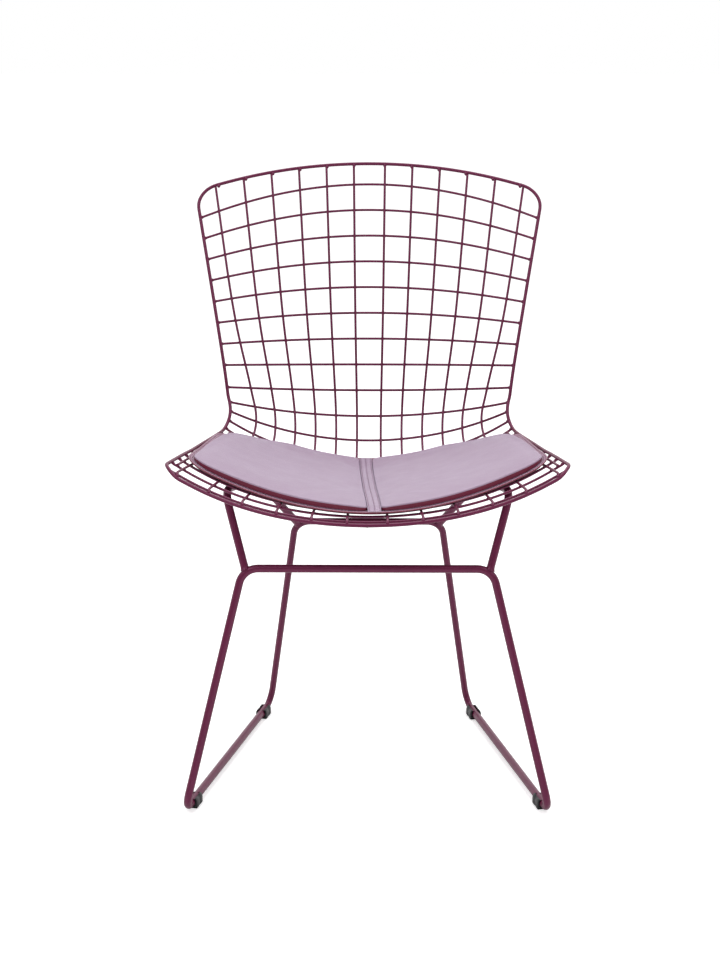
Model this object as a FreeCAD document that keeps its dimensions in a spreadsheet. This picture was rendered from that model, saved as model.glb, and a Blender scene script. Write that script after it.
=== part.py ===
import FreeCAD, Part
import math
import os
from FreeCAD import Placement, Rotation, Vector

# Wire mesh side chair: a welded wire seat shell on a bent rod base, with a sewn seat pad.
# Millimetres. +X is the sitter's left, +Y is the rear, +Z is up.
# The origin is on the floor, under the middle of the chair's box.

doc = FreeCAD.newDocument("WireMeshChair")
sheet = doc.addObject("Spreadsheet::Sheet", "Sizes")

driving = {
    # wires of the shell
    "grid_wire": 3.6,
    "rim_wire": 5.0,
    "weld_gap": 0.1,
    "cross_pitch": 39.0,
    "cross_wires": 23,
    "seat_cross_wires": 11,
    "long_wires_per_side": 6,
    # centre profile, from the front lip over the seat and up the back
    "seat_front_height": 426.0,
    "lip_length": 10.0,
    "lip_angle": 50.0,
    "front_fall": 4.0,
    "dip_fall": 8.4,
    "rear_fall": 1.7,
    "dip_run": 153.0,
    "seat_run": 368.0,
    "bend_radius": 119.0,
    "back_angle": 77.4,
    "back_curl": 1.34,
    # plan of the shell; rows count in cross wire pitches from the first one
    "waist_row": 12.0,
    "waist_half_width": 205.0,
    "waist_softness": 58.0,
    "seat_flare": 0.155,
    "back_flare": 0.142,
    "front_bow": 64.4,
    "front_flat": 10.5,
    "seat_dish": 5.8,
    "waist_bow": 65.9,
    "top_bow": 34.0,
    "front_sweep": 53.2,
    "top_sweep": 57.5,
    "front_sweep_rows": 3.5,
    "top_sweep_rows": 2.55,
    "top_gap": 31.0,
    "top_rise": 18.0,
    "top_corner": 30.0,
    "front_corner": 24.0,
    "side_wire_inset": 10.0,
    "side_wire_rows": 9.7,
    # how the long wires fan out, as shares of the half width
    "centre_share": 0.091,
    "step_share": 0.160,
    "waist_fan": 0.90,
    "front_fan": 1.05,
    "top_fan": 1.0,
    "front_fan_reach": 250.0,
    "top_fan_reach": 136.0,
    # base rods
    "base_rod": 11.0,
    "rear_rod": 10.0,
    "front_foot_half": 248.7,
    "rear_foot_half": 151.9,
    "runner_length": 434.8,
    "front_foot_reach": 27.0,
    "kink_half": 168.5,
    "kink_back": 49.0,
    "kink_height": 338.6,
    "foot_bend": 20.0,
    "kink_bend": 26.0,
    "rear_bar_half": 107.0,
    "rear_bar_height": 331.0,
    "rear_leg_lean": 117.0,
    "rear_bend": 24.0,
    "weld_run": 1.5,
    "rail_front_row": 2.0,
    "rail_rear_row": 6.5,
    "rail_front_half": 189.6,
    "rail_rear_half": 158.0,
    "arm_bend": 24.0,
    "rail_bow_bend": 400.0,
    "rail_bend": 40.0,
    "rail_drop": 0.6,
    # glides
    "glide_length": 26.0,
    "glide_width": 17.0,
    "glide_height": 14.5,
    "glide_floor": 3.0,
    "glide_mouth": 9.4,
    "glide_play": 0.1,
    "front_glide_place": 42.0,
    # seat clamps
    "clamp_front_row": 3.5,
    "clamp_rear_row": 5.5,
    "clamp_length": 48.0,
    "clamp_width": 12.0,
    "clamp_thick": 1.8,
    "clamp_rest": 0.3,
    "screw_dia": 5.0,
    "screw_head": 9.0,
    "screw_head_height": 1.3,
    "screw_depth": 7.0,
    "screw_play": 0.1,
    # seat pad
    "pad_clearance": 1.0,
    "pad_front": 16.0,
    "pad_front_rise": 18.0,
    "pad_front_crest": 0.88,
    "pad_rear": 424.0,
    "pad_shoulder": 281.0,
    "pad_shoulder_half": 221.0,
    "pad_flat_half": 110.0,
    "pad_half_width": 244.0,
    "pad_side_foot": 90.0,
    "pad_tip_round": 25.0,
    "board_thick": 1.9,
    "board_inset": 5.0,
    "flange_thick": 1.8,
    "flange_width": 8.0,
    "strip_inset": 4.0,
    "soft_gap": 0.4,
    "cushion_edge": 6.0,
    "cushion_crown": 5.5,
    "strip_width": 18.0,
    "strip_edge": 3.6,
    "strip_rise": 1.4,
    "strip_turn": 2.1,
}
for row, (alias, value) in enumerate(driving.items(), start=1):
    sheet.set(f"A{row}", alias.replace("_", " "))
    sheet.set(f"B{row}", str(value))
    sheet.setAlias(f"B{row}", alias)
doc.recompute()


def size(alias):
    return float(sheet.get(alias))


pitch = size("cross_pitch")
crossCount = int(size("cross_wires"))
wireRadius = size("grid_wire") / 2
rimRadius = size("rim_wire") / 2
rodRadius = size("base_rod") / 2
weldGap = size("weld_gap")
lastCross = (crossCount - 1) * pitch
waist = size("waist_row") * pitch


# Centre profile: tangent arcs, each with its length and the slope it ends at.
def profileArcs():
    dipRun, seatRun = size("dip_run"), size("seat_run")
    turn = math.radians(size("back_angle") + size("rear_fall"))
    bendRun = turn * size("bend_radius")
    backRun = lastCross + 3 * pitch - seatRun - bendRun
    topSlope = size("back_angle") - size("back_curl") * backRun / 100
    return [
        (size("lip_length"), size("lip_angle"), -size("front_fall")),
        (dipRun, -size("front_fall"), -size("dip_fall")),
        (seatRun - dipRun, -size("dip_fall"), -size("rear_fall")),
        (bendRun, -size("rear_fall"), size("back_angle")),
        (backRun, size("back_angle"), topSlope),
    ]


arcs = profileArcs()


def walkProfile(run):
    """Depth, height and slope at a run along the profile, from the lip's free edge."""
    y = z = 0.0
    left = max(run, 0.0)
    slope = math.radians(arcs[0][1])
    for length, slopeIn, slopeOut in arcs:
        step = min(left, length)
        bend = math.radians(slopeOut - slopeIn) / length
        start = math.radians(slopeIn)
        slope = start + bend * step
        y += (math.sin(slope) - math.sin(start)) / bend
        z += (math.cos(start) - math.cos(slope)) / bend
        left -= step
        if left <= 0:
            break
    return y, z, slope


lipY, lipZ, _ = walkProfile(size("lip_length"))


def profileAt(s):
    """The same, with s counted from the first cross wire, whose height is given."""
    y, z, slope = walkProfile(s + size("lip_length"))
    return y - lipY, z - lipZ + size("seat_front_height"), slope


# Plan of the shell at a station s: half width, bow and sweep of the cross wire there.
def halfWidth(s):
    flare = size("seat_flare") if s < waist else size("back_flare")
    soft = size("waist_softness")
    return size("waist_half_width") + flare * (math.hypot(s - waist, soft) - soft)


def bow(s):
    waistBow = size("waist_bow")
    if s < waist:
        dish = size("seat_dish") * math.sin(math.pi * max(s, 0) / waist) ** 2
        return waistBow + (size("front_bow") - waistBow) * (waist - s) / waist + dish
    return waistBow + (size("top_bow") - waistBow) * (s - waist) / (lastCross - waist)


def ramp(x):
    return (x + math.hypot(x, pitch)) / 2


def sweep(s):
    frontEnd = waist + size("front_sweep_rows") * pitch
    backStart = waist + size("top_sweep_rows") * pitch
    rearward = size("front_sweep") * ramp(frontEnd - s) / ramp(frontEnd)
    downward = size("top_sweep") * ramp(s - backStart) / ramp(lastCross - backStart)
    return rearward - downward


def flat(s):
    return size("front_flat") * max(waist - s, 0) / waist


def arcOf(s):
    """Radius and half angle of the cross wire's arc at s."""
    w, b = halfWidth(s), bow(s)
    radius = (w * w + b * b) / (2 * b)
    return radius, math.asin(w / radius)


def halfArc(s):
    radius, angle = arcOf(s)
    return radius * angle


def frameAt(s, across):
    """Point on the shell and its normal, at s and a distance across along the arc."""
    radius, _ = arcOf(s)
    angle = across / radius
    y, z, slope = profileAt(max(s, 0))
    tangent = Vector(0, math.cos(slope), math.sin(slope))
    normal = Vector(0, -math.sin(slope), math.cos(slope))
    x = radius * math.sin(angle)
    share = (x / halfWidth(s)) ** 2
    rise = radius * (1 - math.cos(angle)) - flat(s) * share * (1 - share)
    point = Vector(x, y, z) + normal * rise + tangent * sweep(s) * share
    if s < 0:
        lipSpot, lipHeight, slope = profileAt(s)
        point += Vector(0, lipSpot - y, lipHeight - z)
        normal = Vector(0, -math.sin(slope), math.cos(slope))
    return point, Vector(-math.sin(angle), 0, 0) + normal * math.cos(angle)


# The box runs from the lip's front to the top rim's back, so its middle sets the origin.
topCentre = lastCross + size("top_gap")
frontY = frameAt(-size("lip_length"), 0)[0].y - rimRadius
rearY = frameAt(topCentre, 0)[0].y + rimRadius
originY = (frontY + rearY) / 2


def shell(s, across, lift=0.0):
    point, normal = frameAt(s, across)
    return point + normal * lift - Vector(0, originY, 0)


# Outline of the rim on the shell, as a rounded rectangle in s and across.
def topEdge(across):
    return topCentre + size("top_rise") * (across / halfArc(lastCross)) ** 2


def rimReach(s):
    """How far across the rim lies at s, less in the rounded corners."""
    reach = halfArc(s)
    top, front = size("top_corner"), size("front_corner")
    fromTop = topEdge(reach) - s
    fromFront = s + size("lip_length")
    for corner, distance in ((top, fromTop), (front, fromFront)):
        if distance < corner:
            reach -= corner - math.sqrt(max(corner ** 2 - (corner - distance) ** 2, 0))
    return reach


def endGap(s):
    """How far short of the rim's centre line a cross wire ends, as it meets it at a slant."""
    slant = abs(rimReach(s + 1) - rimReach(s - 1)) / 2
    return (rimRadius + weldGap) * math.hypot(1, slant) + 3.4 * wireRadius * slant


def frontEdge(across):
    """The rim's s along the lip, further back in the rounded corners."""
    corner = size("front_corner")
    beyond = min(max(abs(across) - (halfArc(-size("lip_length")) - corner), 0), corner)
    return -size("lip_length") + corner - math.sqrt(corner ** 2 - beyond ** 2)


def rimPoints():
    """Half of the rim, from the front centre round the left side to the top centre."""
    lip, front, top = size("lip_length"), size("front_corner"), size("top_corner")
    edge = halfArc(-lip) - front
    half = [(-lip, edge * step / 9) for step in range(0, 10)]
    for step in range(1, 6):
        turn = math.pi / 2 * step / 6
        s = -lip + front * (1 - math.cos(turn))
        half.append((s, halfArc(s) - front * (1 - math.sin(turn))))
    sideTop = topEdge(halfArc(lastCross)) - top
    count = 40
    for step in range(0, count + 1):
        s = -lip + front + (sideTop + lip - front) * step / count
        half.append((s, halfArc(s)))
    for step in range(1, 7):
        turn = math.pi / 2 * step / 6
        across = halfArc(sideTop + top * math.sin(turn)) - top * (1 - math.cos(turn))
        half.append((topEdge(across) - top * (1 - math.sin(turn)), across))
    edge = half[-1][1]
    for step in range(8, -1, -1):
        across = edge * step / 9
        half.append((topEdge(across), across))
    return half


def bendAt(before, corner, after, radius):
    """Start, middle and end of the bend at a corner."""
    back = (before - corner).normalize()
    ahead = (after - corner).normalize()
    half = back.getAngle(ahead) / 2
    cut = radius / math.tan(half)
    middle = corner + (back + ahead).normalize() * (radius / math.sin(half) - radius)
    return corner + back * cut, middle, corner + ahead * cut


def bentWire(corners, radii):
    """Straight runs joined by tangent arcs, as a rod comes off a bender."""
    edges = []
    last = corners[0]
    for before, corner, after, radius in zip(corners, corners[1:], corners[2:], radii):
        start, middle, end = bendAt(before, corner, after, radius)
        edges.append(Part.LineSegment(last, start).toShape())
        edges.append(Part.Arc(start, middle, end).toShape())
        last = end
    edges.append(Part.LineSegment(last, corners[-1]).toShape())
    return Part.Wire(edges)


def openness(before, corner, after):
    """Half of the angle at a corner, a quarter turn where it is straight."""
    return (before - corner).getAngle(after - corner) / 2


def gentlePath(points):
    """A long easy curve near the points: short straights joined by the widest arcs that fit."""
    corners = [points[0]]
    for corner, after in zip(points[1:], points[2:]):
        if math.pi / 2 - openness(corners[-1], corner, after) > 0.0006:
            corners.append(corner)
    corners.append(points[-1])
    radii = []
    for before, corner, after in zip(corners, corners[1:], corners[2:]):
        cut = 0.48 * min((corner - before).Length, (after - corner).Length)
        radii.append(cut * math.tan(openness(before, corner, after)))
    return bentWire(corners, radii)


nodes = []


def keep(feature, label):
    feature.Label = label
    nodes.append(feature)
    return feature


def tube(name, path, diameter, grow=0.0):
    """A round section of a sheet size, swept along a path."""
    spine = doc.addObject("Part::Feature", name + "_path")
    spine.Shape = path
    edge = path.Edges[0]
    start = edge.valueAt(edge.FirstParameter)
    ahead = edge.tangentAt(edge.FirstParameter)
    section = doc.addObject("Part::Circle", name + "_section")
    section.setExpression("Radius", f"Sizes.{diameter} / 2 + {grow}")
    section.Placement = Placement(start, Rotation(Vector(0, 0, 1), ahead))
    body = doc.addObject("Part::Sweep", name)
    body.Sections = [section]
    body.Spine = (spine, [f"Edge{i + 1}" for i in range(len(path.Edges))])
    body.Solid = True
    body.Frenet = False
    return body


# Rim: one bent wire, whose ends meet at a butt weld in the middle of the front.
def makeRim():
    left = rimPoints()
    left[0] = (left[0][0], weldGap / 2)
    right = [(s, -across) for s, across in reversed(left[:-1])]
    points = [shell(s, across) for s, across in left + right]
    keep(tube("rim_wire", gentlePath(points), "rim_wire"), "rim_wire")


# Cross wires, from the front lip to the top of the back, under the long ones.
def makeCrossWires():
    steps = 16
    onSeat = int(size("seat_cross_wires"))
    under = -wireRadius - weldGap / 2
    for index in range(crossCount):
        s = index * pitch
        reach = rimReach(s) - endGap(s)
        points = [shell(s, reach * (2 * i / steps - 1), under) for i in range(steps + 1)]
        part, number = ("seat", index + 1) if index < onSeat else ("back", index + 1 - onSeat)
        name = f"{part}_cross_wire_{number:02d}"
        keep(tube(name, gentlePath(points), "grid_wire"), name)


def fan(s):
    away = s - waist
    goal, reach = ("front_fan", "front_fan_reach") if away < 0 else ("top_fan", "top_fan_reach")
    spread = size(goal) - size("waist_fan")
    return size("waist_fan") + spread * (1 - math.exp(-((away / size(reach)) ** 2)))


def longAcross(index, s):
    share = size("centre_share") + size("step_share") * index
    return share * fan(s) * halfArc(s)


# Long wires, from the top rim over the bend and the seat to the lip.
def makeLongWires():
    clear = rimRadius + weldGap + wireRadius / 3
    steps = 34
    for side, sign in (("left", 1), ("right", -1)):
        for index in range(int(size("long_wires_per_side"))):
            topRun = topEdge(longAcross(index, lastCross)) - clear
            lipRun = frontEdge(longAcross(index, 0)) + clear
            runs = [lipRun, lipRun * 0.7, lipRun * 0.35, 0.0]
            runs += [topRun * i / steps for i in range(1, steps + 1)]
            points = [shell(s, sign * longAcross(index, s), wireRadius + weldGap / 2) for s in runs]
            name = f"{side}_long_wire_{index + 1}"
            keep(tube(name, gentlePath(points), "grid_wire"), name)


# Side wires, doubling the rim along the seat's wings.
def makeSideWires():
    first, last = pitch - 4 * wireRadius, size("side_wire_rows") * pitch
    steps = 14
    for side, sign in (("left", 1), ("right", -1)):
        points = []
        for i in range(steps + 1):
            s = first + (last - first) * i / steps
            across = rimReach(s) - size("side_wire_inset")
            points.append(shell(s, sign * across, wireRadius + weldGap / 2))
        name = f"{side}_side_wire"
        keep(tube(name, gentlePath(points), "grid_wire"), name)


def bound(kind, name, **sizes):
    """A primitive whose properties follow the sheet."""
    feature = doc.addObject(kind, name)
    for prop, expression in sizes.items():
        feature.setExpression(prop, expression)
    return feature


def joined(kind, name, base, tool):
    feature = doc.addObject(kind, name)
    feature.Base = base
    feature.Tool = tool
    return feature


# Base: corners of the rods' centre lines on one side, sign +1 or -1.
footZ = size("glide_floor") + rodRadius
footY = size("front_foot_reach") - originY


class Corners:
    def __init__(self, sign):
        rearY = footY + size("runner_length")
        self.frontFoot = Vector(sign * size("front_foot_half"), footY, footZ)
        self.rearFoot = Vector(sign * size("rear_foot_half"), rearY, footZ)
        self.kink = Vector(sign * size("kink_half"), footY + size("kink_back"), size("kink_height"))
        barY = rearY - size("rear_leg_lean")
        self.rearBar = Vector(sign * size("rear_bar_half"), barY, size("rear_bar_height"))
        self.ahead = (self.frontFoot - self.rearFoot).normalize()
        bend = bendAt(self.frontFoot, self.rearFoot, self.rearBar, size("foot_bend"))
        self.weld = bend[0] + self.ahead * size("weld_run")


left, right = Corners(1), Corners(-1)


def frontFrame(name, grow):
    """Both runners, both front legs and the bar between them, bent from one rod."""
    corners = [left.weld + left.ahead * weldGap, left.frontFoot, left.kink]
    corners += [right.kink, right.frontFoot, right.weld + right.ahead * weldGap]
    foot, kink = size("foot_bend"), size("kink_bend")
    return tube(name, bentWire(corners, [foot, kink, kink, foot]), "base_rod", grow)


def rearFrame(name, grow):
    """Both rear legs and the bar under the seat, butt welded to the runners."""
    corners = [left.weld, left.rearFoot, left.rearBar, right.rearBar, right.rearFoot, right.weld]
    foot, bend = size("foot_bend"), size("rear_bend")
    return tube(name, bentWire(corners, [foot, bend, bend, foot]), "rear_rod", grow)


# Side rails: up from the front kink, back under the wires and down to the rear bar.
railLift = -(2 * wireRadius + 1.5 * weldGap + rodRadius + size("rail_drop"))
railRows = (size("rail_front_row"), size("rail_rear_row"))


def acrossAt(s, x):
    radius, _ = arcOf(s)
    return radius * math.asin(x / radius)


def railHalf(row):
    share = (row - railRows[0]) / (railRows[1] - railRows[0])
    return size("rail_front_half") + (size("rail_rear_half") - size("rail_front_half")) * share


def railCorner(sign, row):
    s = row * pitch
    return shell(s, sign * acrossAt(s, railHalf(row)), railLift)


def makeBase():
    front = keep(frontFrame("front_frame", 0), "front_frame")
    rear = keep(rearFrame("rear_frame", 0), "rear_frame")
    fatFront = frontFrame("front_frame_cope", weldGap)
    fatRear = rearFrame("rear_frame_cope", weldGap)
    rails = {}
    for side, sign, corners, other in (("left", 1, left, right), ("right", -1, right, left)):
        top, middle, end = [railCorner(sign, row) for row in (railRows[0], sum(railRows) / 2, railRows[1])]
        kinkMiddle = bendAt(corners.frontFoot, corners.kink, other.kink, size("kink_bend"))[1]
        barMiddle = bendAt(corners.rearFoot, corners.rearBar, other.rearBar, size("rear_bend"))[1]
        short = rodRadius / 3
        start = kinkMiddle + (top - kinkMiddle).normalize() * short
        finish = barMiddle + (end - barMiddle).normalize() * short
        bends = [size("arm_bend"), size("rail_bow_bend"), size("rail_bend")]
        path = bentWire([start, top, middle, end, finish], bends)
        rod = tube(f"{side}_rail_rod", path, "base_rod")
        cope = joined("Part::Cut", f"{side}_rail_front_cope", rod, fatFront)
        rails[side] = joined("Part::Cut", f"{side}_rail_rear_cope", cope, fatRear)
    return front, rear, rails


# Glides: black saddles snapped onto the runners.
def makeGlide(name, corner, ahead, place):
    length, width, height = size("glide_length"), size("glide_width"), size("glide_height")
    along = "Sizes.glide_length"
    axis = Rotation(Vector(0, 0, 1), Vector(1, 0, 0))
    block = bound("Part::Box", name + "_block", Length=along, Width="Sizes.glide_width",
                  Height="Sizes.glide_floor + Sizes.base_rod / 2")
    block.Placement.Base = Vector(-length / 2, -width / 2, 0)
    crown = bound("Part::Cylinder", name + "_crown", Height=along, Radius="Sizes.glide_width / 2")
    crown.Placement = Placement(Vector(-length / 2, 0, footZ), axis)
    limit = bound("Part::Box", name + "_limit", Length=along, Width="Sizes.glide_width",
                  Height="Sizes.glide_height")
    limit.Placement.Base = Vector(-length / 2, -width / 2, 0)
    groove = bound("Part::Cylinder", name + "_groove", Height=along + " + 2",
                   Radius="Sizes.base_rod / 2 + Sizes.glide_play")
    groove.Placement = Placement(Vector(-length / 2 - 1, 0, footZ), axis)
    mouth = bound("Part::Box", name + "_mouth", Length=along + " + 2", Width="Sizes.glide_mouth",
                  Height="Sizes.glide_height")
    mouth.Placement.Base = Vector(-length / 2 - 1, -size("glide_mouth") / 2, footZ)
    outer = joined("Part::Fuse", name + "_outer", block, crown)
    outer = joined("Part::Common", name + "_trimmed", outer, limit)
    saddle = joined("Part::Cut", name + "_grooved", outer, groove)
    saddle = joined("Part::Cut", name, saddle, mouth)
    spot = corner + ahead * place
    saddle.Placement = Placement(Vector(spot.x, spot.y, 0), Rotation(Vector(1, 0, 0), ahead))
    keep(saddle, name)


def makeGlides():
    for side, corners in (("left", left), ("right", right)):
        makeGlide(f"{side}_front_glide", corners.frontFoot, corners.ahead * -1, size("front_glide_place"))
        reach = (corners.weld - corners.rearFoot).Length + size("glide_length") / 2 + 1
        makeGlide(f"{side}_rear_glide", corners.rearFoot, corners.ahead, reach)


# Seat clamps: strips across two cross wires, screwed down into the rails.
def makeClamps(rails):
    lift = weldGap / 2 + size("clamp_rest")
    screws = []
    for side, sign in (("left", 1), ("right", -1)):
        holes = []
        for part in ("front", "rear"):
            row = size(f"clamp_{part}_row")
            s = row * pitch
            half = railHalf(row)
            before, after = [shell(at, sign * acrossAt(at, half)) for at in (s - pitch / 2, s + pitch / 2)]
            spot, ahead = (before + after) / 2, after - before
            normal = frameAt(s, sign * acrossAt(s, half))[1]
            turn = Rotation(ahead, normal.cross(ahead), normal, "XZY")
            normal = turn.multVec(Vector(0, 0, 1))
            name = f"{side}_{part}_seat_clamp"
            plate = bound("Part::Box", name + "_plate", Length="Sizes.clamp_length",
                          Width="Sizes.clamp_width", Height="Sizes.clamp_thick")
            plate.Placement = Placement(spot + turn.multVec(
                Vector(-size("clamp_length") / 2, -size("clamp_width") / 2, lift)), turn)
            depth = size("clamp_thick") + lift - railLift - rodRadius + size("screw_depth")
            top = lift + size("clamp_thick")
            hole = bound("Part::Cylinder", name + "_hole", Radius="Sizes.screw_dia / 2 + Sizes.screw_play")
            hole.Height = depth + 2
            hole.Placement = Placement(spot + normal * (top + 1 - hole.Height.Value), turn)
            keep(joined("Part::Cut", name, plate, hole), name)
            holes.append(hole)
            shank = bound("Part::Cylinder", name + "_shank", Radius="Sizes.screw_dia / 2")
            shank.Height = depth + size("screw_head_height")
            shank.Placement = Placement(spot + normal * (top - depth), turn)
            head = bound("Part::Cylinder", name + "_head", Radius="Sizes.screw_head / 2",
                         Height="Sizes.screw_head_height")
            head.Placement = Placement(spot + normal * (top + weldGap), turn)
            screws.append(joined("Part::Fuse", name + "_screw", shank, head))
        for index, hole in enumerate(holes):
            rails[side] = joined("Part::Cut", f"{side}_rail_drilled_{index}", rails[side], hole)
        keep(rails[side], f"{side}_side_rail")
    group = doc.addObject("Part::Compound", "clamp_screws")
    group.Links = screws
    keep(group, "clamp_screws")


# Seat pad: its outline on the shell, drawn in by an inset.
def padFront(x, inset=0.0):
    tip = size("pad_half_width")
    x = abs(x) * tip / (tip - inset)
    crest = min(x / (size("pad_front_crest") * tip), 1)
    s = size("pad_front") + size("pad_front_rise") * (1 - math.cos(math.pi * crest))
    corner = size("pad_tip_round")
    beyond = max(x - (tip - corner), 0)
    return s + corner - math.sqrt(corner ** 2 - min(beyond, corner) ** 2) + inset


def padRear(x, inset=0.0):
    tip, half, flat = size("pad_half_width"), size("pad_shoulder_half"), size("pad_flat_half")
    x = abs(x) * tip / (tip - inset)
    shoulder, rear = size("pad_shoulder"), size("pad_rear")
    if x > half:
        return shoulder - (shoulder - size("pad_side_foot")) * (x - half) / (tip - half) - inset
    turn = max(x - flat, 0) / (half - flat)
    return shoulder + (rear - shoulder) * (1 - turn ** 1.5) ** (1 / 1.5) - inset


def padPoint(x, s, lift):
    """A point over the shell, in the slightly turned section plane of x."""
    turn = math.tan(math.radians(size("strip_turn"))) * (1 - abs(x) / size("pad_half_width"))
    at = x
    for _ in range(3):
        _, _, slope = profileAt(s)
        point = shell(s, acrossAt(s, at))
        lean = math.asin(at / arcOf(s)[0])
        point += Vector(0, -math.sin(slope), math.cos(slope)) * (lift / math.cos(lean))
        at = x - turn * point.y
    point.x = at
    return point


def stations(front, rear):
    """Ends and middles of the arcs along a section, broken where the profile's arcs change."""
    run = rear - front
    first = min(max(size("dip_run"), front + 0.2 * run), front + 0.45 * run)
    second = min(max(size("seat_run"), front + 0.6 * run), front + 0.87 * run)
    ends = [front, (front + first) / 2, first, (first + second) / 2, second, (second + rear) / 2, rear]
    finer = [(before + after) / 2 for before, after in zip(ends, ends[1:])]
    return sorted(ends + finer)


def section(name, x, inset, under, edge, crown=0.0):
    """A closed outline of lines and arcs, domed on top when it has a crown."""
    front, rear = padFront(x, inset), padRear(x, inset)
    lower = stations(front, rear)
    upper = lower
    if crown:
        upper = [front + (rear - front) * share for share in (0, 0.03, 0.09, 0.3, 0.5, 0.7, 0.91, 0.97, 1)]

    def spot(s, domed):
        share = (s - front) / (rear - front)
        rise = edge + crown * (1 - abs(2 * share - 1) ** 4) if domed else 0
        return padPoint(x, s, under + rise)

    below = [spot(s, False) for s in lower]
    above = [spot(s, True) for s in reversed(upper)]
    edges = []
    for run, other in ((below, above), (above, below)):
        for first, middle, last in zip(run[0::2], run[1::2], run[2::2]):
            edges.append(Part.Arc(first, middle, last).toShape())
        edges.append(Part.LineSegment(run[-1], other[0]).toShape())
    feature = doc.addObject("Part::Feature", name)
    feature.Shape = Part.Wire(edges)
    return feature


def loft(name, sections):
    feature = doc.addObject("Part::Loft", name)
    feature.Sections = sections
    feature.Solid = True
    feature.Ruled = False
    return feature


def padStations(inset, inner):
    """Places across the pad, closer together towards the wing's tip."""
    tip, half = size("pad_half_width"), size("pad_shoulder_half")
    shares = inner + (0.5, 0.63, 0.75, 0.84, 0.905, 0.96, 1)
    places = [half * share for share in shares]
    places += [half + (tip - half) * share for share in (0.26, 0.48, 0.7, 0.87)]
    return [x * (tip - inset) / tip for x in places]


def padLayer(name, inset, under, thick):
    """A thin layer with the pad's whole outline."""
    reach = padStations(inset, (0, 0.27))
    places = [-x for x in reversed(reach[1:])] + reach
    cuts = [section(f"{name}_section_{i}", x, inset, under, thick) for i, x in enumerate(places)]
    keep(loft(name, cuts), name)


def makeCushion(side, sign, under):
    """A puffed panel, drawn in at the centre strip and at the wing's tip."""
    inset = size("flange_width")
    start = size("strip_width") / 2 + size("soft_gap")
    reach = [start] + padStations(inset, (0.07, 0.14, 0.28, 0.41))
    last = reach[-1]
    name = f"{side}_cushion"
    cuts = []
    for i, x in enumerate(reach):
        swell = 1 - abs(2 * (x - start) / (last - start) - 1) ** 5
        edge = size("cushion_edge") * (0.6 + 0.4 * swell)
        crown = size("cushion_crown") * (0.15 + 0.85 * swell)
        cuts.append(section(f"{name}_section_{i}", sign * x, inset, under, edge, crown))
    keep(loft(name, cuts), name)


def makePad():
    gap = size("soft_gap")
    under = 2 * wireRadius + weldGap / 2 + size("pad_clearance")
    padLayer("pad_board", size("board_inset"), under, size("board_thick"))
    under += size("board_thick") + gap
    padLayer("pad_flange", 0, under, size("flange_thick"))
    under += size("flange_thick") + gap
    makeCushion("left", 1, under)
    makeCushion("right", -1, under)
    half = size("strip_width") / 2
    cuts = []
    for i, x in enumerate((-half, -half / 2, 0, half / 2, half)):
        crown = size("strip_rise") * (1 - 0.85 * (x / half) ** 2)
        name = f"centre_strip_section_{i}"
        cuts.append(section(name, x, size("strip_inset"), under, size("strip_edge"), crown))
    keep(loft("centre_strip", cuts), "centre_strip")


makeRim()
makeCrossWires()
makeLongWires()
makeSideWires()
_, _, rails = makeBase()
makeGlides()
makeClamps(rails)
makePad()
doc.recompute()

faults = []
for feature in doc.Objects:
    if "Invalid" in feature.State or "Error" in feature.State:
        faults.append(feature.Name)
for feature in nodes:
    if feature.Shape.isNull() or not feature.Shape.isValid():
        faults.append(feature.Label)
if faults:
    raise RuntimeError("not sound: " + ", ".join(faults))

os.makedirs("parts", exist_ok=True)
for feature in nodes:
    feature.Shape.exportStep(f"parts/{feature.Label}.step")
    print(feature.Label, len(feature.Shape.Solids), round(feature.Shape.Volume, 1))
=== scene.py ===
import math
import bmesh
import bpy
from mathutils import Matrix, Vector, noise


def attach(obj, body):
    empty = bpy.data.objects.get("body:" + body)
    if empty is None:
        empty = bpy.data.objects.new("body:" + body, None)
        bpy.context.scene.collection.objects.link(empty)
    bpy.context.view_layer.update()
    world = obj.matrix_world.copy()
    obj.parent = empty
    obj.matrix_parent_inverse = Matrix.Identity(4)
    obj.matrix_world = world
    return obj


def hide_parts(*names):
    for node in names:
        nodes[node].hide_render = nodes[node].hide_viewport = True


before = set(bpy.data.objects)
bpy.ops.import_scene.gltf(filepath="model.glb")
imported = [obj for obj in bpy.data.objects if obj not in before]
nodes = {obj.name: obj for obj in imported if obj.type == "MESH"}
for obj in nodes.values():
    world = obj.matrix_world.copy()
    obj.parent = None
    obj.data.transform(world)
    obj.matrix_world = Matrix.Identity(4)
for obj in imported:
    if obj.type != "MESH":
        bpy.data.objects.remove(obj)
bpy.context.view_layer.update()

scene = bpy.context.scene
mm = 0.001


# Camera, floor and light
view = {
    "place": (0.01347, -3.0945, 1.19834),
    "tilt": 75.69,  # degrees from straight down
    "turn": 0.47,
    "lens": 83.64,
    "sensor": 36,
    "reach": 50,
}
light = {
    "soft": (0.50, 0.95),  # what the object is lit by, from the front and from behind
    "gloss": (0.22, 1.0),  # what it mirrors there
    "turnOver": (-0.5, 0.35),  # over which depth of the sky its front level turns into the rear one
    "background": 1.0,  # what the camera sees
    "floorHalf": 14,
    "floorColour": 0.86,
    "floorLift": 0.50,  # added for the camera, so that the floor ends up white
    "aim": (0, 0, 0.4),
    "lamps": (  # place, size, power
        ((-1.3, -1.7, 2.6), 1.8, 26.0),
        ((1.5, -1.2, 2.3), 1.6, 15.0),
        ((0.1, 0.9, 2.9), 2.0, 30.0),
    ),
}


def makeCamera():
    data = bpy.data.cameras.new("camera")
    data.sensor_width = view["sensor"]
    data.lens = view["lens"]
    data.clip_end = view["reach"]
    camera = bpy.data.objects.new("camera", data)
    camera.location = view["place"]
    camera.rotation_euler = (math.radians(view["tilt"]), 0, math.radians(view["turn"]))
    scene.collection.objects.link(camera)
    scene.camera = camera


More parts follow.
